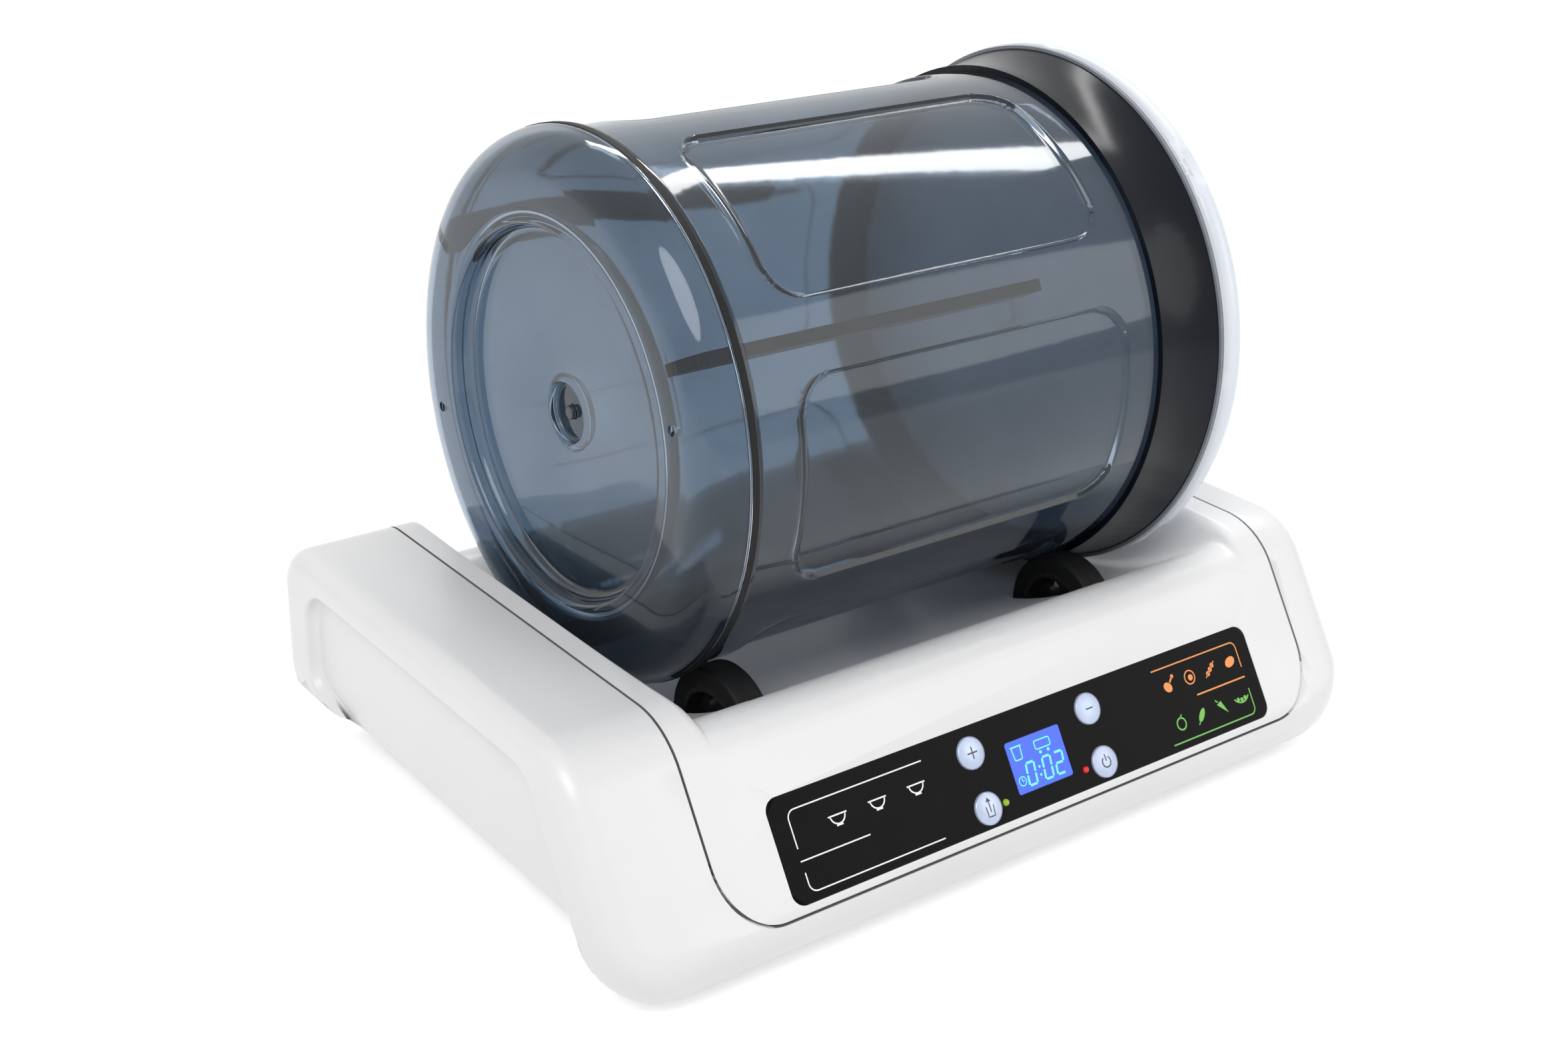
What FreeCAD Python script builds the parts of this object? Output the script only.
"""Countertop vacuum tumbler: a smoky drum that rolls on four rubber tyres in a moulded base.

Layout axes while modelling: X along the drum, Y from the control panel to the back, Z up,
with Y = 0 on the drum's axis and X = 0 in the middle of the control panel.  save() moves every
piece so that the origin is the middle of the footprint, on the table.  All sizes in millimetres.
"""
import FreeCAD, Part
import math
import os
from FreeCAD import Placement, Rotation, Vector

# ---- base housing ------------------------------------------------------------------------------
left_end = -214.6          # outer face of the wide end block, which holds the gear train
right_end = 191.0          # outer face of the narrow end block
deck_height = 100.0        # flat top of both end blocks
skirt_bottom = 4.0         # underside of the housing, above the table
slope_angle = 57.0         # front slope, from the horizontal
slope_top_y = -122.7       # where the slope meets the deck if the bend is left sharp
bend_radius = 34.0         # deck into slope
rear_y = 110.0
rear_top_radius = 20.0
rear_low_radius = 25.0
front_low_radius = 18.0
end_round = 10.0           # rounding of each end face into deck, slope and back
corner_round = 28.0        # rounding of each end face into the underside
wall = 3.0

# ---- drum bay between the end blocks -----------------------------------------------------------
bay_half = 149.0
ridge_start = 19.0         # distance down the slope where the front ridge leaves it
ridge_radius = 17.0
trough_floor = 50.5        # lowest line of the trough
rear_ridge_radius = 14.0
bay_skim = 0.04            # the bay's edge sinks this far into slope and back, so the cut runs out cleanly
# soft S of each bay wall: (distance outwards, share of the way up to the deck, extra lift)
bay_wall = ((-8.0, 0.0, 0.0), (-6.0, 0.015, 0.0), (-4.2, 0.05, 0.0), (-2.6, 0.11, 0.0), (-1.4, 0.2, 0.0),
            (-0.6, 0.33, 0.0), (0.6, 0.66, 0.0), (1.4, 0.8, 0.0), (2.6, 0.9, 0.0), (4.0, 0.96, 0.1),
            (5.6, 0.99, 0.3), (7.6, 1.01, 0.9))

# ---- seam between centre cover and housing -----------------------------------------------------
seam_half = 165.0
seam_low = 27.0            # height of the seam along the front and the back
seam_radius = 26.0
seam_gap = 1.0
lip_thickness = 1.5
lip_reach = 4.0

# ---- hand grips: a shallow recess in each end face, open to finger room under the end block ----
grip_top = 86.0
grip_back = 84.5
grip_front_inset = 26.0    # from the front slope, square to it
grip_low = 39.0            # height of the recess's lower back corner
grip_depth = 5.0
grip_corner = 16.0
grip_low_corner = 12.0
grip_lip = 1.8             # rounding of the recess's edge
grip_fillet = 3.2          # rounding into the recess's floor
grip_under = 34.4          # underside of the end block above the finger room
grip_reach = 29.0          # finger room at the skirt, from the end face inwards

# ---- drum --------------------------------------------------------------------------------------
drum_axis_z = 177.9
drum_left = -140.7
barrel_radius = 114.6
drum_wall = 3.2
ring_x = -120.5            # black ring behind the shoulder
ring_radius = 117.1
ring_width = 3.0
recess_radius = 78.6
recess_depth = 9.0
shoulder_radius = 19.0
dimple_radius = 12.5
dimple_depth = 4.0
rim_hole_radius = 2.2
rim_hole_circle = 93.0
barrel_end = 95.6          # where the collar starts
collar_end = 126.0
collar_flare = 121.7
pocket_count = 6
pocket_depth = 2.0
pocket_left = -94.0
pocket_right = 77.0
rib_width = 28.0           # plain barrel left between two pockets
rib_angle = 28.5           # first rib, in degrees up from the front
pocket_corner = 15.0
fin_count = 3
fin_height = 16.0
fin_thickness = 5.0
fin_right = 36.0

# ---- lid and its valve -------------------------------------------------------------------------
gasket_thickness = 1.8
lid_end = 142.0
lid_radius = 123.6
lid_wall = 3.0
lid_round = 7.0
plug_radius = 108.0
plug_depth = 12.0          # how far the plug reaches into the drum
handle_half_width = 9.0
handle_gap = 14.0          # finger room under the handle
grip_scallops = 4
scallop_radius = 26.0
scallop_depth = 2.2
valve_bore = 5.0
seal_radius = 9.0
seal_thickness = 2.0
knob_radius = 14.0
knob_height = 10.0
knob_travel = 3.0

# ---- rollers -----------------------------------------------------------------------------------
tyre_radius = 28.0
tyre_width = 14.0
hub_radius = 20.0
front_roller_y = -82.0
rear_roller_y = 68.0
roller_xs = (-108.0, 85.0)
axle_radius = 3.0
roller_gap = 0.3           # between tyre and barrel
slot_side = 2.0            # slot clearance on the left of a tyre
slot_free_side = 6.0
slot_ends = 1.5
slot_under = 12.0          # how far below the axle the slots are cut into the skin
bush_wall = 1.4
bush_length = 8.0
running_gap = 0.05
stand_xs = (-135.0, 102.0)
stand_width = 8.0
stand_depth = 20.0
front_axle_left = -168.0
rear_axle_left = -142.0
axle_right = 110.0

# ---- gear train --------------------------------------------------------------------------------
module = 1.5
gear_teeth = 42
pinion_teeth = 22
gear_width = 8.0
gear_x = -160.0            # middle plane of both gears
pinion_drop = 34.9         # pinion axis below the front axle
backlash = 0.25
motor_radius = 18.5
motor_length = 62.0
motor_face_x = -147.0
motor_shaft_radius = 3.0

# ---- control panel, measured on the slope ------------------------------------------------------
panel_half = 134.6
panel_top = 40.0
panel_low = 82.5
panel_corner = 5.5
fascia_thickness = 2.5
ledge_grow = 4.0           # the ledge under the fascia reaches this far out and in from its outline
fit_gap = 0.3
button_radius = 6.9
button_proud = 1.6
button_dome = 1.0
button_flange = 1.0
button_travel = 0.8
button_places = {"plus": (-33.2, 50.8), "minus": (33.2, 50.8),
                 "vacuum": (-33.2, 74.4), "power": (33.2, 74.4)}
lcd_half = 15.35
lcd_top = 52.3
lcd_low = 74.5
led_radius = 1.5
led_places = {"red": (22.0, 74.6), "green": (-23.6, 74.8)}
board_depth = 12.4         # from the slope's surface to the board's face
board_thickness = 1.6

# ---- underside ---------------------------------------------------------------------------------
plate_thickness = 2.0
ring_flat = 12.0           # width of the housing's flat ring under the plate
ring_flat_rear = 5.0       # narrower behind the rear rollers
plate_margin = 2.0
foot_radius = 8.0
foot_inset = 22.0
screw_radius = 1.5
screw_head = 3.0
post_radius = 4.5

# ---- vacuum side -------------------------------------------------------------------------------
pump_x = 45.0
pump_radius = 15.0
pump_length = 44.0
pump_z = 24.0
pump_head = 20.0
hose_radius = 3.0
port_x = 140.0
port_z = 45.0
port_inside = 10.0         # how far the port reaches into the base, from the back face
port_neck = 4.0
inlet_x = -128.0
inlet_z = 46.0
inlet_half_x = 11.0
inlet_half_z = 7.0
switch_top = -6.6          # top of each switch, off the slope's surface
rim_hole_angle = 15.0


# ---- small helpers -----------------------------------------------------------------------------
def box(x0, x1, y0, y1, z0, z1):
    return Part.makeBox(x1 - x0, y1 - y0, z1 - z0, Vector(x0, y0, z0))


def rod(radius, x0, x1, y, z):
    """Cylinder along X."""
    return Part.makeCylinder(radius, x1 - x0, Vector(x0, y, z), Vector(1, 0, 0))


def post(radius, x, y, z0, z1):
    """Cylinder along Z."""
    return Part.makeCylinder(radius, z1 - z0, Vector(x, y, z0), Vector(0, 0, 1))


def rounded_edges(points, radii, place):
    """Lines and arcs round a closed outline; place() turns two numbers into a 3-D point."""
    flat = [Vector(a, b, 0) for a, b in points]
    count = len(flat)
    starts, mids, ends = [], [], []
    for i, corner in enumerate(flat):
        back = (flat[i - 1] - corner).normalize()
        ahead = (flat[(i + 1) % count] - corner).normalize()
        half = back.getAngle(ahead) / 2
        radius = radii[i] if isinstance(radii, (list, tuple)) else radii
        reach = radius / math.tan(half)
        bisector = (back + ahead).normalize()
        starts.append(corner + back * reach)
        ends.append(corner + ahead * reach)
        mids.append(corner + bisector * (radius / math.sin(half) - radius))
    edges = []
    for i in range(count):
        a, m, b, nxt = (place(p.x, p.y) for p in (starts[i], mids[i], ends[i], starts[(i + 1) % count]))
        if a.distanceToPoint(b) > 1e-6:
            edges.append(Part.Arc(a, m, b).toShape())
        if b.distanceToPoint(nxt) > 1e-6:
            edges.append(Part.LineSegment(b, nxt).toShape())
    return edges


def on_yz(x):
    return lambda a, b: Vector(x, a, b)


def on_xz(y):
    return lambda a, b: Vector(a, y, b)


def on_xy(z):
    return lambda a, b: Vector(a, b, z)


def prism(points, radii, place, push):
    wire = Part.Wire(rounded_edges(points, radii, place))
    return Part.Face(wire).extrude(push)


def slab(points, radii, x0, x1):
    """Outline in Y and Z, pulled along X."""
    return prism(points, radii, on_yz(x0), Vector(x1 - x0, 0, 0))


def rectangle(a0, a1, b0, b1):
    return [(a0, b0), (a1, b0), (a1, b1), (a0, b1)]


def join(shapes):
    first, rest = shapes[0], shapes[1:]
    return first.fuse(rest).removeSplitter() if rest else first


# ---- base form ---------------------------------------------------------------------------------
slope_rad = math.radians(slope_angle)
slope_out = Vector(0, -math.sin(slope_rad), math.cos(slope_rad))
slope_down = Vector(0, -math.cos(slope_rad), -math.sin(slope_rad))
slope_origin = Vector(0, slope_top_y, deck_height)


def slope_y(z, inset=0.0):
    return slope_top_y - (deck_height - z) / math.tan(slope_rad) + inset / math.sin(slope_rad)


def base_section(x, inset, raised):
    """Side profile of the base, moved in by inset and lifted off its underside by raised."""
    top, low, back = deck_height - inset, skirt_bottom + raised, rear_y - inset
    corners = [(slope_y(top, inset), top), (back, top), (back, low), (slope_y(low, inset), low)]
    radii = [bend_radius - inset, rear_top_radius - inset,
             rear_low_radius - min(inset, 10), front_low_radius - min(inset, 10)]
    return Part.Wire(rounded_edges(corners, radii, on_yz(x)))


def rounding(distance, radius):
    """How far a rounded edge has drawn in at this distance from the end face."""
    return radius - math.sqrt(max(radius ** 2 - max(radius - distance, 0) ** 2, 0))


def end_cap(end_x, inwards, inset):
    small, large = end_round - inset, corner_round - inset
    distances = [small * (1 - math.cos(math.radians(a))) for a in range(0, 91, 15)]
    distances += [small + (large - small) * share for share in (0.2, 0.5, 1.0)]
    wires = [base_section(end_x + inwards * (inset + d), inset + rounding(d, small), inset + rounding(d, large))
             for d in distances]
    return Part.makeLoft(wires, True, True)


def base_form(inset=0.0):
    left_flat, right_flat = left_end + corner_round, right_end - corner_round
    middle = Part.Face(base_section(left_flat, inset, inset)).extrude(Vector(right_flat - left_flat, 0, 0))
    return join([end_cap(left_end, 1, inset), middle, end_cap(right_end, -1, inset)])


# front ridge: an arc that leaves the slope at ridge_start; the trough's radius follows from touching it
ridge_foot = slope_origin + slope_down * ridge_start
ridge_centre = ridge_foot - slope_out * ridge_radius
ridge_rise = ridge_centre.z - trough_floor
trough_radius = (ridge_centre.y ** 2 + ridge_rise ** 2 - ridge_radius ** 2) / (2 * (ridge_rise + ridge_radius))
trough_centre = Vector(0, 0, trough_floor + trough_radius)
rear_ridge_y = rear_y - rear_ridge_radius
rear_ridge_z = trough_centre.z - math.sqrt((trough_radius + rear_ridge_radius) ** 2 - rear_ridge_y ** 2)


def arc_height(centre_y, centre_z, radius, y, sign):
    return centre_z + sign * math.sqrt(max(radius ** 2 - (y - centre_y) ** 2, 0))


def trough_line(y, offset):
    """Height of front ridge, trough or rear ridge at y; offset lowers it by a wall."""
    ridge, trough, rear = ridge_radius - offset, trough_radius + offset, rear_ridge_radius - offset
    share = ridge / (ridge_radius + trough_radius)
    join_front = ridge_centre.y * (1 - share)
    join_rear = rear_ridge_y * (1 - rear / (rear_ridge_radius + trough_radius))
    if y < join_front:
        return arc_height(ridge_centre.y, ridge_centre.z, ridge, y, 1)
    if y < join_rear:
        return arc_height(0, trough_centre.z, trough, y, -1)
    return arc_height(rear_ridge_y, rear_ridge_z, rear, y, 1)


def deck_line(y, offset):
    """Height of the end blocks' top at y."""
    top, bend, back = deck_height - offset, bend_radius - offset, rear_top_radius - offset
    bend_y = slope_y(top, offset) + bend * math.tan(slope_rad / 2)
    if y < bend_y - bend * math.sin(slope_rad):
        return top - (slope_y(top, offset) - y) * math.tan(slope_rad)
    if y < bend_y:
        return arc_height(bend_y, top - bend, bend, y, 1)
    return top if y < rear_y - rear_top_radius else arc_height(rear_y - rear_top_radius, top - back, back, y, 1)


def bay(offset=0.0, side=bay_half):
    """The space above ridge, trough and rear ridge; its ends rise to the deck in a soft S."""
    start_y = (ridge_centre + slope_out * (ridge_radius - offset)).y
    end_y = rear_y - offset - bay_skim
    high = deck_height + 30
    count = 36
    # bunched at both ends, where the line is steepest
    ys = [start_y + (end_y - start_y) * (1 - math.cos(math.pi * k / count)) / 2 for k in range(count + 1)]
    wires = []
    stations = [(-side - offset - x, w, lift) for x, w, lift in reversed(bay_wall)]
    stations += [(side + offset + x, w, lift) for x, w, lift in bay_wall]
    for x, w, lift in stations:
        line = [Vector(x, y, trough_line(y, offset) * (1 - w) + deck_line(y, offset) * w + lift - bay_skim)
                for y in ys]
        curve = Part.BSplineCurve()
        curve.interpolate(line)
        a, b = line[0], line[-1]
        corners = [b, Vector(x, rear_y + 60, b.z), Vector(x, rear_y + 60, high), Vector(x, -260, high),
                   a + slope_out * 60, a]
        edges = [curve.toShape()] + [Part.LineSegment(p, q).toShape() for p, q in zip(corners, corners[1:])]
        wires.append(Part.Wire(edges))
    return Part.makeLoft(wires, True, True)


def seam_block(half, low):
    """Everything between the seams, seen from the front."""
    outline = rectangle(-half, half, low, deck_height + 60)
    return prism(outline, [seam_radius, seam_radius, 1, 1], on_xz(-260), Vector(0, 520, 0))


quarter = [math.radians(a) for a in (0, 30, 60, 90)]


def grip_outline(grow):
    inset, top, low = grip_front_inset - grow, grip_top + grow, grip_low - grow
    corners = [(slope_y(top, inset), top), (grip_back + grow, top), (grip_back + grow, low),
               (slope_y(-grow, inset), -grow)]
    return corners, [grip_corner + grow, grip_corner + grow, grip_low_corner + grow, 5 + grow]


def grip(side, offset=0.0):
    """Hand grip in one end; side is -1 for the left end and 1 for the right."""
    end = left_end if side < 0 else right_end
    if offset:
        corners, radii = grip_outline(offset + 1)
        start, stop = sorted((end + side * 5, end - side * (grip_depth + offset)))
        recess = slab(corners, radii, start, stop)
    else:
        steps = [(-1.0, grip_lip)]
        steps += [(grip_lip * (1 - math.cos(a)), grip_lip * (1 - math.sin(a))) for a in quarter]
        rest = [(grip_lip + grip_fillet * math.sin(a), -grip_fillet * (1 - math.cos(a))) for a in quarter[1:]]
        wires = []
        for depth, grow in steps + rest:
            corners, radii = grip_outline(grow)
            wires.append(Part.Wire(rounded_edges(corners, radii, on_yz(end - side * depth))))
        recess = Part.makeLoft(wires, True, True)
    # the room's inner wall slants in from the recess's floor to the skirt
    top, out = grip_under + offset, end + side * 20
    high, low = end - side * (grip_depth + 0.5 + offset / 2), end - side * (grip_reach + 1.26 * offset)
    outline = [(out, -20), (low, -20), (low, skirt_bottom), (high, top), (out, top)]
    edges = Part.makePolygon([Vector(a, -260, b) for a, b in outline + outline[:1]])
    room = Part.Face(edges).extrude(Vector(0, 520, 0))
    inset = grip_front_inset - offset
    sides = [(slope_y(top + 1, inset), top + 1), (rear_y + 20, top + 1), (rear_y + 20, -30),
             (slope_y(-30, inset), -30)]
    room = room.common(slab(sides, 0.5, end - 60, end + 60))
    return recess.fuse(room)


front_axle_z = drum_axis_z - math.sqrt((barrel_radius + roller_gap + tyre_radius) ** 2 - front_roller_y ** 2)
rear_axle_z = drum_axis_z - math.sqrt((barrel_radius + roller_gap + tyre_radius) ** 2 - rear_roller_y ** 2)
axles = {"front": (front_roller_y, front_axle_z), "rear": (rear_roller_y, rear_axle_z)}
plate_top = skirt_bottom
plate_low = skirt_bottom - plate_thickness
flat_front = slope_y(skirt_bottom) + front_low_radius / math.tan(slope_rad / 2)
flat_rear = rear_y - rear_low_radius
flat_left, flat_right = left_end + corner_round, right_end - corner_round
cover_screws = [(x, y) for x in (-132.0, 0.0, 122.0) for y in (-124.0, 46.0)]
ring_screws = [(x, y) for x in (flat_left + ring_flat / 2, flat_right - ring_flat / 2)
               for y in (-118.0, 52.0)]


def on_slope(shape):
    """Moves a piece drawn at (x, -distance down the slope, height off it) onto the slope."""
    shape.Placement = Placement(slope_origin, Rotation(Vector(1, 0, 0), slope_angle)).multiply(shape.Placement)
    return shape


def panel_prism(grow, low, high, half=panel_half, top=panel_top, bottom=panel_low, corner=panel_corner):
    outline = rectangle(-half - grow, half + grow, -bottom - grow, -top + grow)
    return prism(outline, max(corner + grow, 1.0), on_xy(low), Vector(0, 0, high - low))


def panel_rod(radius, place, low, high):
    return post(radius, place[0], -place[1], low, high)


envelope = base_form().cut(bay())
cavity = base_form(wall).cut(join([bay(wall), grip(-1, wall), grip(1, wall)]))
grips = join([grip(-1), grip(1)])
shell = envelope.cut(grips).cut(cavity)


# ---- housing: everything outside the seam, with the flat ring under the base plate -------------
def plate_outline(inset, rear_inset):
    return rectangle(flat_left + inset, flat_right - inset, flat_front + inset, flat_rear - rear_inset)


def lower_housing():
    body = shell.cut(seam_block(seam_half + seam_gap / 2, seam_low - seam_gap / 2))
    opening = prism(plate_outline(ring_flat, ring_flat_rear), 12, on_xy(0), Vector(0, 0, skirt_bottom + wall + 1))
    lip = base_form(wall).cut(base_form(wall + lip_thickness))
    lip = lip.cut(join([bay(wall), grip(-1, wall), grip(1, wall)]))
    lip = lip.common(seam_block(seam_half + lip_reach, seam_low - lip_reach))
    lip = lip.cut([seam_block(seam_half - lip_reach, seam_low + lip_reach),
                   on_slope(box(-seam_half + 15, seam_half - 15, -panel_low - 12, -panel_top, -20, 1))])
    bosses = [post(post_radius, x, y, skirt_bottom, 16) for x, y in ring_screws]
    pilots = [post(screw_radius, x, y, skirt_bottom - 1, 14) for x, y in ring_screws]
    return join([body.cut(opening), lip] + bosses).cut(pilots)


# ---- centre cover: front slope, ridge, trough and inner thirds of the end blocks ---------------
def centre_cover():
    body = shell.common(seam_block(seam_half - seam_gap / 2, seam_low + seam_gap / 2))
    ledge = on_slope(panel_prism(ledge_grow, -fascia_thickness - 3, -fascia_thickness + 0.5, bottom=panel_low - 2))
    posts = [post(post_radius, x, y, plate_top, deck_height) for x, y in cover_screws]
    mid_skin = base_form(wall / 2).cut(bay(wall / 2))
    body = join([body] + [p.common(mid_skin) for p in posts] + [ledge])
    body = body.cut([post(screw_radius, x, y, plate_top - 1, plate_top + 12) for x, y in cover_screws])
    body = body.cut(on_slope(panel_prism(fit_gap, -fascia_thickness, 5)))
    body = body.cut(on_slope(panel_prism(-ledge_grow, -20, 5)))
    # room behind the fascia for the flanges of the buttons
    body = body.cut(on_slope(box(-46, 46, -panel_low - 0.6, -panel_top - 1.5, -20, -fascia_thickness)))
    for y, z in axles.values():
        reach = tyre_radius + slot_ends
        y0, y1 = y - reach, min(y + reach, rear_ridge_y - 4)
        for x in roller_xs:
            x0, x1 = x - tyre_width / 2 - slot_side, x + tyre_width / 2 + slot_free_side
            body = body.cut(box(x0, x1, y0, y1, z - slot_under, deck_height + 20))
    body = body.cut(Part.makeCylinder(port_neck + fit_gap, 40, Vector(port_x, rear_y - 20, port_z), Vector(0, 1, 0)))
    return body.cut(box(inlet_x - inlet_half_x - fit_gap, inlet_x + inlet_half_x + fit_gap, rear_y - 20, rear_y + 5,
                        inlet_z - inlet_half_z - fit_gap, inlet_z + inlet_half_z + fit_gap))


def base_plate():
    plate = prism(plate_outline(plate_margin, plate_margin), 14, on_xy(plate_low), Vector(0, 0, plate_thickness))
    holes = [post(screw_radius + 0.1, x, y, 0, 9) for x, y in cover_screws + ring_screws]
    vents = [prism(rectangle(x - 1.5, x + 1.5, -70, -30), 1.4, on_xy(0), Vector(0, 0, 9))
             for x in range(-70, -20, 7)]
    return plate.cut(holes + vents)


def feet():
    xs = (flat_left + foot_inset, flat_right - foot_inset)
    ys = (flat_front + foot_inset, flat_rear - foot_inset)
    return Part.Compound([post(foot_radius, x, y, 0, plate_low) for x in xs for y in ys])


def plate_screws():
    screws = []
    for x, y in cover_screws + ring_screws:
        head = Part.makeSphere(screw_head, Vector(x, y, plate_low)).common(
            box(x - 5, x + 5, y - 5, y + 5, plate_low - 1.4, plate_low))
        screws.append(join([head, post(screw_radius, x, y, plate_low, plate_top + 10)]))
    return Part.Compound(screws)


# ---- control panel -----------------------------------------------------------------------------
def fascia():
    body = panel_prism(0, -fascia_thickness, 0)
    body = body.cut([panel_rod(button_radius + 0.25, p, -9, 9) for p in button_places.values()])
    body = body.cut([panel_rod(led_radius + 0.1, p, -9, 9) for p in led_places.values()])
    return on_slope(body.cut(panel_prism(0.1, -9, 9, lcd_half, lcd_top, lcd_low, 1.0)))


def lcd_window():
    return on_slope(panel_prism(0, -fascia_thickness, -0.2, lcd_half, lcd_top, lcd_low, 1.0))


def lcd_module():
    body = panel_prism(2.5, -board_depth + 1, -fascia_thickness, lcd_half, lcd_top, lcd_low, 1.0)
    pins = [box(x - 1, x + 1, -lcd_low - 1, -lcd_low + 1, -board_depth, -board_depth + 1)
            for x in (-12.0, 0.0, 12.0)]
    return on_slope(join([body] + pins))


def button(place):
    """Domed cap with a flange that the fascia holds back, and a stem over its switch."""
    flange, stem_low = -fascia_thickness - 0.3, switch_top + 0.1 + button_travel
    rim_radius = button_radius + button_flange
    profile = [(0, stem_low), (2.2, stem_low), (2.2, flange - 1.4), (rim_radius, flange - 1.4),
               (rim_radius, flange), (button_radius, flange), (button_radius, button_proud - button_dome)]
    corners = [Vector(place[0] + r, -place[1], n) for r, n in profile]
    rim, top = corners[-1], Vector(place[0], -place[1], button_proud)
    ball = (button_radius ** 2 + button_dome ** 2) / (2 * button_dome)
    drop = ball - math.sqrt(ball ** 2 - (button_radius / 2) ** 2)
    mid = Vector(place[0] + button_radius / 2, -place[1], button_proud - drop)
    edges = [Part.LineSegment(a, b).toShape() for a, b in zip(corners, corners[1:])]
    edges += [Part.Arc(rim, mid, top).toShape(), Part.LineSegment(top, corners[0]).toShape()]
    face = Part.Face(Part.Wire(edges))
    return on_slope(face.revolve(Vector(place[0], -place[1], 0), Vector(0, 0, 1), 360))


def tact_switches():
    switches = []
    for x, v in button_places.values():
        case = box(x - 3, x + 3, -v - 3, -v + 3, -board_depth, switch_top - 0.8)
        switches.append(on_slope(join([case, panel_rod(1.7, (x, v), switch_top - 0.8, switch_top)])))
    return Part.Compound(switches)


def led(place):
    stem = panel_rod(led_radius, place, -board_depth, 0)
    dome = Part.makeSphere(led_radius, Vector(place[0], -place[1], 0))
    return on_slope(join([stem, dome]))


def control_board():
    board = panel_prism(-2, -board_depth - board_thickness, -board_depth, corner=4)
    chips = [box(x - 6, x + 6, -v - 6, -v + 6, -board_depth, -board_depth + 1.6)
             for x, v in ((-75.0, 62.0), (70.0, 60.0))]
    socket = box(96, 114, -70, -62, -board_depth, -board_depth + 6)
    return on_slope(join([board, socket] + chips))


def board_posts():
    """Four spacers that carry the control board under the cover's fascia ledge."""
    spacers = [panel_rod(2.0, (x, v), -board_depth, -fascia_thickness - 3)
               for x in (-panel_half + 3.6, panel_half - 3.6) for v in (panel_top + 10, panel_low - 10)]
    return Part.Compound([on_slope(s) for s in spacers])


# ---- rollers and axles -------------------------------------------------------------------------
def ring_outline(x0, x1, r0, r1, corner_in=0.0, corner_out=2.0):
    return rounded_edges(rectangle(x0, x1, r0, r1), [corner_in, corner_in, corner_out, corner_out], lambda a, b: (
        Vector(a, 0, b)))


def turned_ring(x0, x1, r0, r1, y, z, corner_in=0.0, corner_out=2.0):
    face = Part.Face(Part.Wire(ring_outline(x0, x1, r0, r1, corner_in, corner_out)))
    ring = face.revolve(Vector(0, 0, 0), Vector(1, 0, 0), 360)
    ring.translate(Vector(0, y, z))
    return ring


def tyres(y, z):
    half = tyre_width / 2
    return Part.Compound([turned_ring(x - half, x + half, hub_radius, tyre_radius, y, z) for x in roller_xs])


def hubs(y, z):
    wheels = []
    for x in roller_xs:
        half = tyre_width / 2
        rim = rod(hub_radius, x - half, x + half, y, z).cut(rod(hub_radius - 2.5, x - half, x + half, y, z))
        web = rod(hub_radius - 2, x - 1.5, x + 1.5, y, z)
        boss = rod(axle_radius + 4, x - half, x + half, y, z)
        holes = [rod(3.2, x - 9, x + 9, y + 12 * math.cos(math.radians(a)), z + 12 * math.sin(math.radians(a)))
                 for a in range(0, 360, 60)]
        wheels.append(join([rim, web, boss]).cut(holes + [rod(axle_radius, x - 9, x + 9, y, z)]))
    return Part.Compound(wheels)


def bushes():
    outer = axle_radius + running_gap + bush_wall
    rings = []
    for y, z in axles.values():
        for x in stand_xs:
            x0 = x - bush_length / 2
            rings.append(rod(outer, x0, x0 + bush_length, y, z).cut(
                rod(axle_radius + running_gap, x0, x0 + bush_length, y, z)))
    return Part.Compound(rings)


def stands():
    """Upright saddles on the base plate; each holds a bush from below and both sides."""
    outer = axle_radius + running_gap + bush_wall
    uprights = []
    for y, z in axles.values():
        for x in stand_xs:
            x0, x1 = x - stand_width / 2, x + stand_width / 2
            low = [(y - stand_depth / 2, plate_top), (y + stand_depth / 2, plate_top),
                   (y + outer + 2, z + 1), (y - outer - 2, z + 1)]
            body = slab(low, [0.5, 0.5, 1.5, 1.5], x0, x1)
            saddle = join([rod(outer, x0, x1, y, z), box(x0, x1, y - outer, y + outer, z, z + 9)])
            uprights.append(body.cut(saddle))
    return Part.Compound(uprights)


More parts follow.
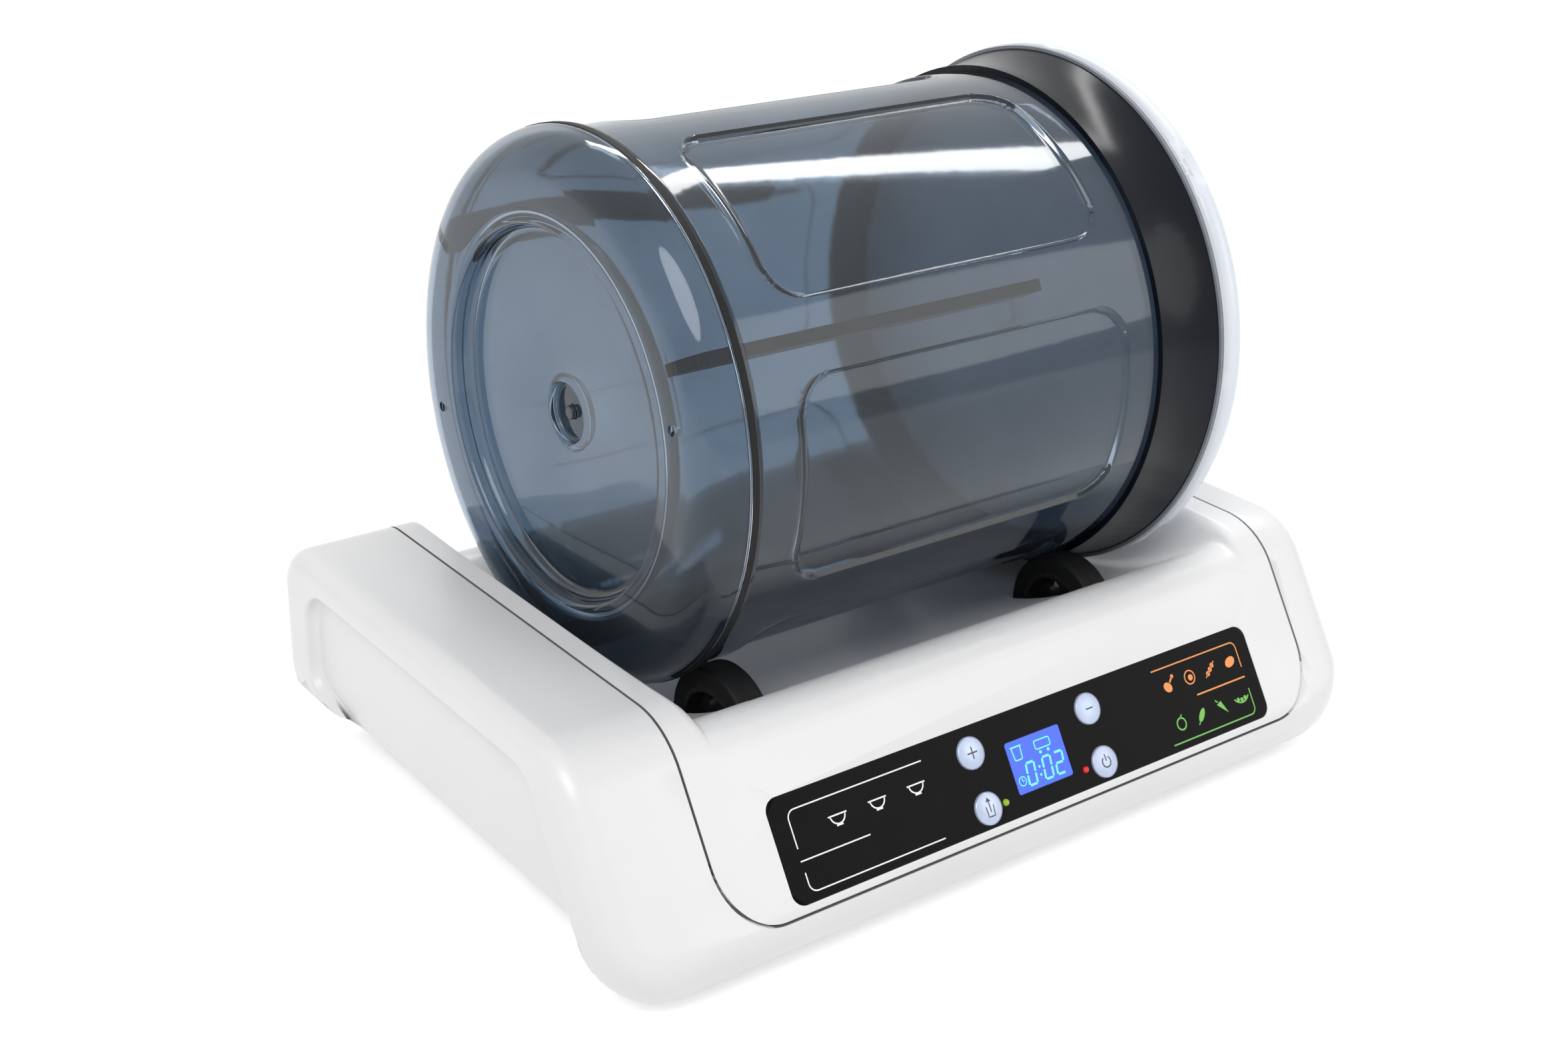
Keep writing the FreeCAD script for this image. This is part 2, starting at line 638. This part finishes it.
# ---- gears -------------------------------------------------------------------------------------
def gear(teeth, x0, x1, y, z, bore, phase):
    """Spur gear with involute flanks, thinned at the pitch circle by half the backlash."""
    pitch = module * teeth / 2
    base = pitch * math.cos(math.radians(20))
    tip, root = pitch + module, pitch - 1.25 * module
    lean = math.tan(math.radians(20)) - math.radians(20)
    half_tooth = (math.pi * module / 2 - backlash / 2) / 2 / pitch
    start = max(base, root + 0.05)

    def flank(radius):
        roll = math.sqrt(max((radius / base) ** 2 - 1, 0))
        return half_tooth + lean - (roll - math.atan(roll))

    radii = [start + (tip - start) * k / 4 for k in range(5)]

    def at(radius, angle):
        return Vector(x0, y + radius * math.cos(angle), z + radius * math.sin(angle))

    edges = []
    for k in range(teeth):
        middle = phase + 2 * math.pi * k / teeth
        following = middle + 2 * math.pi / teeth
        up = [at(r, middle - flank(r)) for r in radii]
        down = [at(r, middle + flank(r)) for r in reversed(radii)]
        foot_up, foot_down = at(root, middle - flank(start)), at(root, middle + flank(start))
        next_foot = at(root, following - flank(start))
        rise, fall = Part.BSplineCurve(), Part.BSplineCurve()
        rise.interpolate(up)
        fall.interpolate(down)
        edges += [Part.LineSegment(foot_up, up[0]).toShape(), rise.toShape(),
                  Part.Arc(up[-1], at(tip, middle), down[0]).toShape(), fall.toShape(),
                  Part.LineSegment(down[-1], foot_down).toShape(),
                  Part.Arc(foot_down, at(root, (middle + following) / 2), next_foot).toShape()]
    disc = Part.Face(Part.Wire(edges)).extrude(Vector(x1 - x0, 0, 0))
    return disc.cut(rod(bore, x0 - 1, x1 + 1, y, z))


gear_y, gear_z = axles["front"]
gear_distance = module * (gear_teeth + pinion_teeth) / 2
pinion_y = gear_y + math.sqrt(gear_distance ** 2 - pinion_drop ** 2)
pinion_z = gear_z - pinion_drop
mesh_angle = math.atan2(pinion_z - gear_z, pinion_y - gear_y)


def drive_gear():
    x0, x1 = gear_x - gear_width / 2, gear_x + gear_width / 2
    wheel = gear(gear_teeth, x0, x1, gear_y, gear_z, axle_radius, mesh_angle)
    dish = [rod(24, a, a + 2.5, gear_y, gear_z).cut(rod(8, a, a + 2.5, gear_y, gear_z)) for a in (x0, x1 - 2.5)]
    return wheel.cut(dish)


def pinion():
    x0, x1 = gear_x - gear_width / 2 - 1, gear_x + gear_width / 2 + 1
    half_pitch = math.pi / pinion_teeth
    return gear(pinion_teeth, x0, x1, pinion_y, pinion_z, motor_shaft_radius, mesh_angle + math.pi + half_pitch)


def motor_shaft():
    return rod(motor_shaft_radius, gear_x - gear_width / 2 - 3, motor_face_x + 8, pinion_y, pinion_z)


def gear_motor():
    box_end = motor_face_x + 24
    gearbox = rod(motor_radius, motor_face_x, box_end, pinion_y, pinion_z)
    can = rod(motor_radius - 1.5, box_end, motor_face_x + motor_length, pinion_y, pinion_z)
    cap = rod(5, motor_face_x + motor_length, motor_face_x + motor_length + 3, pinion_y, pinion_z)
    terminals = [box(motor_face_x + motor_length, motor_face_x + motor_length + 4, pinion_y + s * 10 - 1,
                     pinion_y + s * 10 + 1, pinion_z - 3, pinion_z + 3) for s in (-1, 1)]
    bore = rod(motor_shaft_radius + running_gap, motor_face_x - 1, motor_face_x + 10, pinion_y, pinion_z)
    return join([gearbox, can, cap] + terminals).cut(bore)


def motor_bracket():
    x1 = motor_face_x
    face = slab(rectangle(pinion_y - 22, pinion_y + 22, plate_top, pinion_z + 20), [0.5, 0.5, 8, 8], x1 - 2, x1)
    foot = box(x1 - 2, x1 + 20, pinion_y - 22, pinion_y + 22, plate_top, plate_top + 2)
    return join([face, foot]).cut(rod(motor_shaft_radius + 2, x1 - 5, x1 + 1, pinion_y, pinion_z))


# ---- vacuum pump, hose, port and power ---------------------------------------------------------
pump_right = pump_x + pump_length + pump_head
hose_y, hose_z = 8.0, pump_z + 6


def vacuum_pump():
    can = rod(pump_radius - 2, pump_x, pump_x + pump_length, 0, pump_z)
    half = pump_radius + 1
    head = slab(rectangle(-half, half, pump_z - half, pump_z + half), 4, pump_x + pump_length, pump_right)
    spigot = rod(hose_radius, pump_right, pump_right + 4, hose_y, hose_z)
    return join([can, head, spigot])


def pump_cradle():
    blocks = [box(x, x + 8, -pump_radius, pump_radius, plate_top, pump_z - 2)
              for x in (pump_x + 4, pump_x + pump_length - 12)]
    blocks.append(box(pump_x + pump_length + 4, pump_right - 4, -10, 10, plate_top, pump_z - pump_radius - 1))
    tie = box(pump_x + 4, pump_right - 4, -6, 6, plate_top, plate_top + 2)
    return join(blocks + [tie]).cut(rod(pump_radius - 2, pump_x, pump_x + pump_length, 0, pump_z))


def vacuum_hose():
    """Hose from the pump to the port: three straight runs joined by arcs."""
    points = [Vector(pump_right + 4, hose_y, hose_z), Vector(port_x, hose_y, hose_z),
              Vector(port_x, hose_y + 52, port_z), Vector(port_x, rear_y - port_inside, port_z)]
    bend = 14.0
    edges, previous = [], points[0]
    for i in (1, 2):
        back = (points[i - 1] - points[i]).normalize()
        ahead = (points[i + 1] - points[i]).normalize()
        half = back.getAngle(ahead) / 2
        a, b = points[i] + back * (bend / math.tan(half)), points[i] + ahead * (bend / math.tan(half))
        mid = points[i] + (back + ahead).normalize() * (bend / math.sin(half) - bend)
        edges += [Part.LineSegment(previous, a).toShape(), Part.Arc(a, mid, b).toShape()]
        previous = b
    edges.append(Part.LineSegment(previous, points[-1]).toShape())
    path = Part.Wire(edges)
    section = Part.Wire(Part.makeCircle(hose_radius, points[0], Vector(1, 0, 0)))
    return path.makePipeShell([section], True, False)


def vacuum_port():
    """Barbed spigot through the back, where the hose to the lid's valve is plugged in."""
    profile = [(rear_y - port_inside, 1.6), (rear_y - port_inside, hose_radius), (rear_y - wall - 2.5, hose_radius),
               (rear_y - wall - 2.5, port_neck + 3), (rear_y - wall, port_neck + 3), (rear_y - wall, port_neck),
               (rear_y, port_neck), (rear_y, port_neck + 2.5), (rear_y + 2, port_neck + 2.5),
               (rear_y + 2, hose_radius), (rear_y + 6, hose_radius), (rear_y + 6, hose_radius + 0.7),
               (rear_y + 10, hose_radius - 0.6), (rear_y + 10, 1.6)]
    corners = [Vector(port_x, y, port_z + r) for y, r in profile]
    face = Part.Face(Part.makePolygon(corners + corners[:1]))
    return face.revolve(Vector(port_x, 0, port_z), Vector(0, 1, 0), 360)


def power_inlet():
    """Two-pin appliance socket in the back."""
    body = box(inlet_x - inlet_half_x, inlet_x + inlet_half_x, rear_y - 18, rear_y, inlet_z - inlet_half_z,
               inlet_z + inlet_half_z)
    flange = prism(rectangle(inlet_x - inlet_half_x - 3, inlet_x + inlet_half_x + 3, inlet_z - inlet_half_z - 3,
                             inlet_z + inlet_half_z + 3), 3, on_xz(rear_y), Vector(0, 1.5, 0))
    inside = [Part.makeCylinder(3.8, 15, Vector(inlet_x + s * 4.2, rear_y - 13, inlet_z), Vector(0, 1, 0))
              for s in (-1, 1)]
    inside.append(box(inlet_x - 4.2, inlet_x + 4.2, rear_y - 13, rear_y + 2, inlet_z - 3.8, inlet_z + 3.0))
    pins = [Part.makeCylinder(1.2, 11, Vector(inlet_x + s * 4.2, rear_y - 13, inlet_z), Vector(0, 1, 0))
            for s in (-1, 1)]
    return join([join([body, flange]).cut(inside)] + pins)


def power_board():
    x0, x1, y0, y1, low = -72.0, 22.0, -12.0, 36.0, plate_top + 8
    board = box(x0, x1, y0, y1, low, low + board_thickness)
    legs = [post(2.5, x, y, plate_top, low) for x in (x0 + 4, x1 - 4) for y in (y0 + 4, y1 - 4)]
    top = low + board_thickness
    transformer = box(x0 + 10, x0 + 38, y0 + 12, y0 + 36, top, top + 22)
    capacitors = [post(5, x0 + 52, y, top, top + 18) for y in (y0 + 12, y0 + 28)]
    heat_sink = [box(x0 + 66 + 4 * i, x0 + 67.5 + 4 * i, y0 + 8, y0 + 40, top, top + 16) for i in range(5)]
    return join([board, transformer] + legs + capacitors + heat_sink)


# ---- drum --------------------------------------------------------------------------------------
def turn_outline(points, radii):
    """Turns a rounded (x, radius) outline about the drum's axis."""
    edges = rounded_edges(points, radii, lambda x, r: Vector(x, 0, drum_axis_z + r))
    return Part.Face(Part.Wire(edges)).revolve(Vector(0, 0, drum_axis_z), Vector(1, 0, 0), 360)


def about_drum(shape, degrees):
    copy = shape.copy()
    copy.rotate(Vector(0, 0, drum_axis_z), Vector(1, 0, 0), degrees)
    return copy


def pocket_tools(low_radius, high_radius, grow):
    """One block for each pocket in the barrel: a curved slice with rounded corners."""
    half = barrel_radius * math.sin(math.pi / pocket_count) - rib_width / 2 + grow
    outline = rectangle(pocket_left - grow, pocket_right + grow, -half, half)
    block = prism(outline, pocket_corner + grow, on_xy(drum_axis_z + 40), Vector(0, 0, 100))
    x0, x1 = pocket_left - 10, pocket_right + 10
    slice_ring = rod(high_radius, x0, x1, 0, drum_axis_z).cut(rod(low_radius, x0, x1, 0, drum_axis_z))
    first = slice_ring.common(block)
    # drawn at the top of the drum, then turned so that a rib comes out at rib_angle
    start = 90 - rib_angle - 180 / pocket_count
    return [about_drum(first, start + k * 360 / pocket_count) for k in range(pocket_count)]


floor_x = drum_left + recess_depth
dimple_x = floor_x + dimple_depth
ring_left, ring_right = ring_x - ring_width / 2, ring_x + ring_width / 2


def drum_outside():
    points = [(dimple_x, 0), (dimple_x, dimple_radius), (floor_x, dimple_radius), (floor_x, recess_radius),
              (drum_left, recess_radius), (drum_left, ring_radius), (ring_left, ring_radius),
              (ring_left, ring_radius - 2), (ring_right, ring_radius - 2), (ring_right, ring_radius),
              (ring_right + 2.5, ring_radius), (ring_right + 2.5, barrel_radius), (collar_end, barrel_radius),
              (collar_end, 0)]
    radii = [0, 0, 0, 5, 2.5, shoulder_radius, 0, 0, 0, 0, 0, 0, 0, 0]
    return turn_outline(points, radii)


def drum_inside():
    w = drum_wall
    points = [(dimple_x + w, 0), (dimple_x + w, dimple_radius + w), (floor_x + w, dimple_radius + w),
              (floor_x + w, recess_radius + w), (drum_left + w, recess_radius + w), (drum_left + w, ring_radius - w),
              (ring_left, ring_radius - w), (ring_right + 4, barrel_radius - w), (collar_end + 5, barrel_radius - w),
              (collar_end + 5, 0)]
    return turn_outline(points, [0, 0, 0, 0, 5, shoulder_radius - w, 0, 0, 0, 0])


drum_cavity = drum_inside().cut(pocket_tools(barrel_radius - drum_wall - pocket_depth, barrel_radius + 5, drum_wall))


def drum_shell():
    body = drum_outside().cut(pocket_tools(barrel_radius - pocket_depth, barrel_radius + 5, 0))
    body = body.cut(drum_cavity)
    blind = [about_drum(rod(rim_hole_radius, drum_left - 1, drum_left + 2, -rim_hole_circle, drum_axis_z), a)
             for a in (-rim_hole_angle, 180 - rim_hole_angle)]
    nub = rod(3.0, dimple_x - 2.5, dimple_x + 1, 0, drum_axis_z)
    return join([body.cut(blind), nub])


def mixing_fins():
    """Blades on the inside of the barrel, one behind every other rib."""
    inner = barrel_radius - drum_wall
    x0, top, low = drum_left + drum_wall, ring_radius - drum_wall, inner - fin_height
    outline = [(x0, drum_axis_z + low), (x0, drum_axis_z + top), (fin_right, drum_axis_z + top),
               (fin_right, drum_axis_z + low)]
    blade = prism(outline, [0.5, shoulder_radius - drum_wall, 0.5, 6], on_xz(-fin_thickness / 2),
                  Vector(0, fin_thickness, 0))
    blade = blade.common(rod(inner, x0 - 5, fin_right + 5, 0, drum_axis_z))
    return Part.Compound([about_drum(blade, 90 - rib_angle + k * 360 / fin_count) for k in range(fin_count)])


def drum_ring():
    return turn_outline(rectangle(ring_left + 0.05, ring_right - 0.05, ring_radius - 2, ring_radius + 0.3), 0)


def drum_collar():
    points = [(barrel_end, barrel_radius), (barrel_end, ring_radius + 0.2), (barrel_end + 17, ring_radius + 0.2),
              (collar_end, collar_flare), (collar_end, barrel_radius)]
    return turn_outline(points, [0, 0, 70, 0, 0])


def lid_gasket():
    return turn_outline(rectangle(collar_end, collar_end + gasket_thickness, barrel_radius - drum_wall,
                                  lid_radius - 0.6), 0)


lid_face = collar_end + gasket_thickness
plug_face = collar_end - plug_depth


def lid():
    w = lid_wall
    points = [(plug_face, 0), (plug_face, plug_radius), (lid_face, plug_radius), (lid_face, lid_radius),
              (lid_end, lid_radius), (lid_end, plug_radius - w), (plug_face + w, plug_radius - w), (plug_face + w, 0)]
    body = turn_outline(points, [0, 0, 0, 0, lid_round, 1.5, 0, 0])
    handle = box(plug_face + 1, lid_end, -handle_half_width, handle_half_width, drum_axis_z - plug_radius + 1,
                 drum_axis_z + plug_radius - 1)
    # finger gaps under the handle, on both sides of the valve
    for side in (-1, 1):
        z0, z1 = sorted((drum_axis_z + side * (knob_radius + 6), drum_axis_z + side * (plug_radius - w - 8)))
        handle = handle.cut(box(plug_face, plug_face + w + handle_gap, -20, 20, z0, z1))
    pocket = rod(knob_radius + 2, plug_face + w, lid_end + 1, 0, drum_axis_z)
    hollow = rod(plug_radius - 1, plug_face + 1, lid_end + 1, 0, drum_axis_z)
    body = join([body, handle.common(hollow)]).cut(pocket)
    reach = lid_radius + scallop_radius - scallop_depth
    scallop = rod(scallop_radius, lid_face + 4, lid_end + 5, 0, drum_axis_z + reach)
    body = body.cut([about_drum(scallop, 45 + k * 360 / grip_scallops) for k in range(grip_scallops)])
    return body.cut(rod(valve_bore, plug_face - 5, plug_face + 10, 0, drum_axis_z))


def valve_seal():
    x0 = plug_face + lid_wall
    return rod(seal_radius, x0, x0 + seal_thickness, 0, drum_axis_z).cut(
        rod(valve_bore - 1.0, x0 - 1, x0 + 5, 0, drum_axis_z))


def valve_knob():
    x0 = plug_face + lid_wall + seal_thickness
    head = turn_outline([(x0, 0), (x0, knob_radius), (x0 + knob_height, knob_radius - 1.5), (x0 + knob_height, 0)],
                        [0, 0, 1.5, 0])
    grooves = [about_drum(rod(1.6, x0 + 3, x0 + knob_height + 1, 0, drum_axis_z + knob_radius), a)
               for a in range(0, 360, 30)]
    stem_end = plug_face - knob_travel - 1.5
    stem = rod(valve_bore - 1.0, stem_end, x0, 0, drum_axis_z)
    clip = rod(valve_bore + 1.5, stem_end - 1.5, stem_end + 0.8, 0, drum_axis_z)
    return join([head.cut(grooves), stem, clip])


# ---- write every piece -------------------------------------------------------------------------
front_extreme = slope_y(skirt_bottom) + front_low_radius / math.tan(slope_rad / 2) - front_low_radius
shift = Vector(-(left_end + right_end) / 2, -(front_extreme + lid_radius) / 2, 0)


def save(name, shape):
    shape = shape.copy()
    shape.translate(shift)
    for solid in shape.Solids:
        if not solid.isValid():
            print("invalid solid in", name)
    shape.exportStep("parts/" + name + ".step")
    print(f"{name:18s} {len(shape.Solids):3d} solids  {shape.Volume / 1000:9.2f} cm3")


os.makedirs("parts", exist_ok=True)
save("lower_housing", lower_housing())
save("centre_cover", centre_cover())
save("base_plate", base_plate())
save("feet", feet())
save("plate_screws", plate_screws())
save("fascia", fascia())
save("lcd_window", lcd_window())
save("lcd_module", lcd_module())
save("control_board", control_board())
save("board_posts", board_posts())
save("tact_switches", tact_switches())
for colour, place in led_places.items():
    save("led_" + colour, led(place))
for label, place in button_places.items():
    save("button_" + label, button(place))
for end, (y, z) in axles.items():
    left = front_axle_left if end == "front" else rear_axle_left
    save(end + "_axle", rod(axle_radius, left, axle_right, y, z))
    save(end + "_hubs", hubs(y, z))
    save(end + "_tyres", tyres(y, z))
save("axle_stands", stands())
save("axle_bushes", bushes())
save("drive_gear", drive_gear())
save("pinion", pinion())
save("motor_shaft", motor_shaft())
save("gear_motor", gear_motor())
save("motor_bracket", motor_bracket())
save("vacuum_pump", vacuum_pump())
save("pump_cradle", pump_cradle())
save("vacuum_hose", vacuum_hose())
save("vacuum_port", vacuum_port())
save("power_inlet", power_inlet())
save("power_board", power_board())
save("drum_shell", drum_shell())
save("mixing_fins", mixing_fins())
save("drum_ring", drum_ring())
save("drum_collar", drum_collar())
save("lid_gasket", lid_gasket())
save("lid", lid())
save("valve_seal", valve_seal())
save("valve_knob", valve_knob())
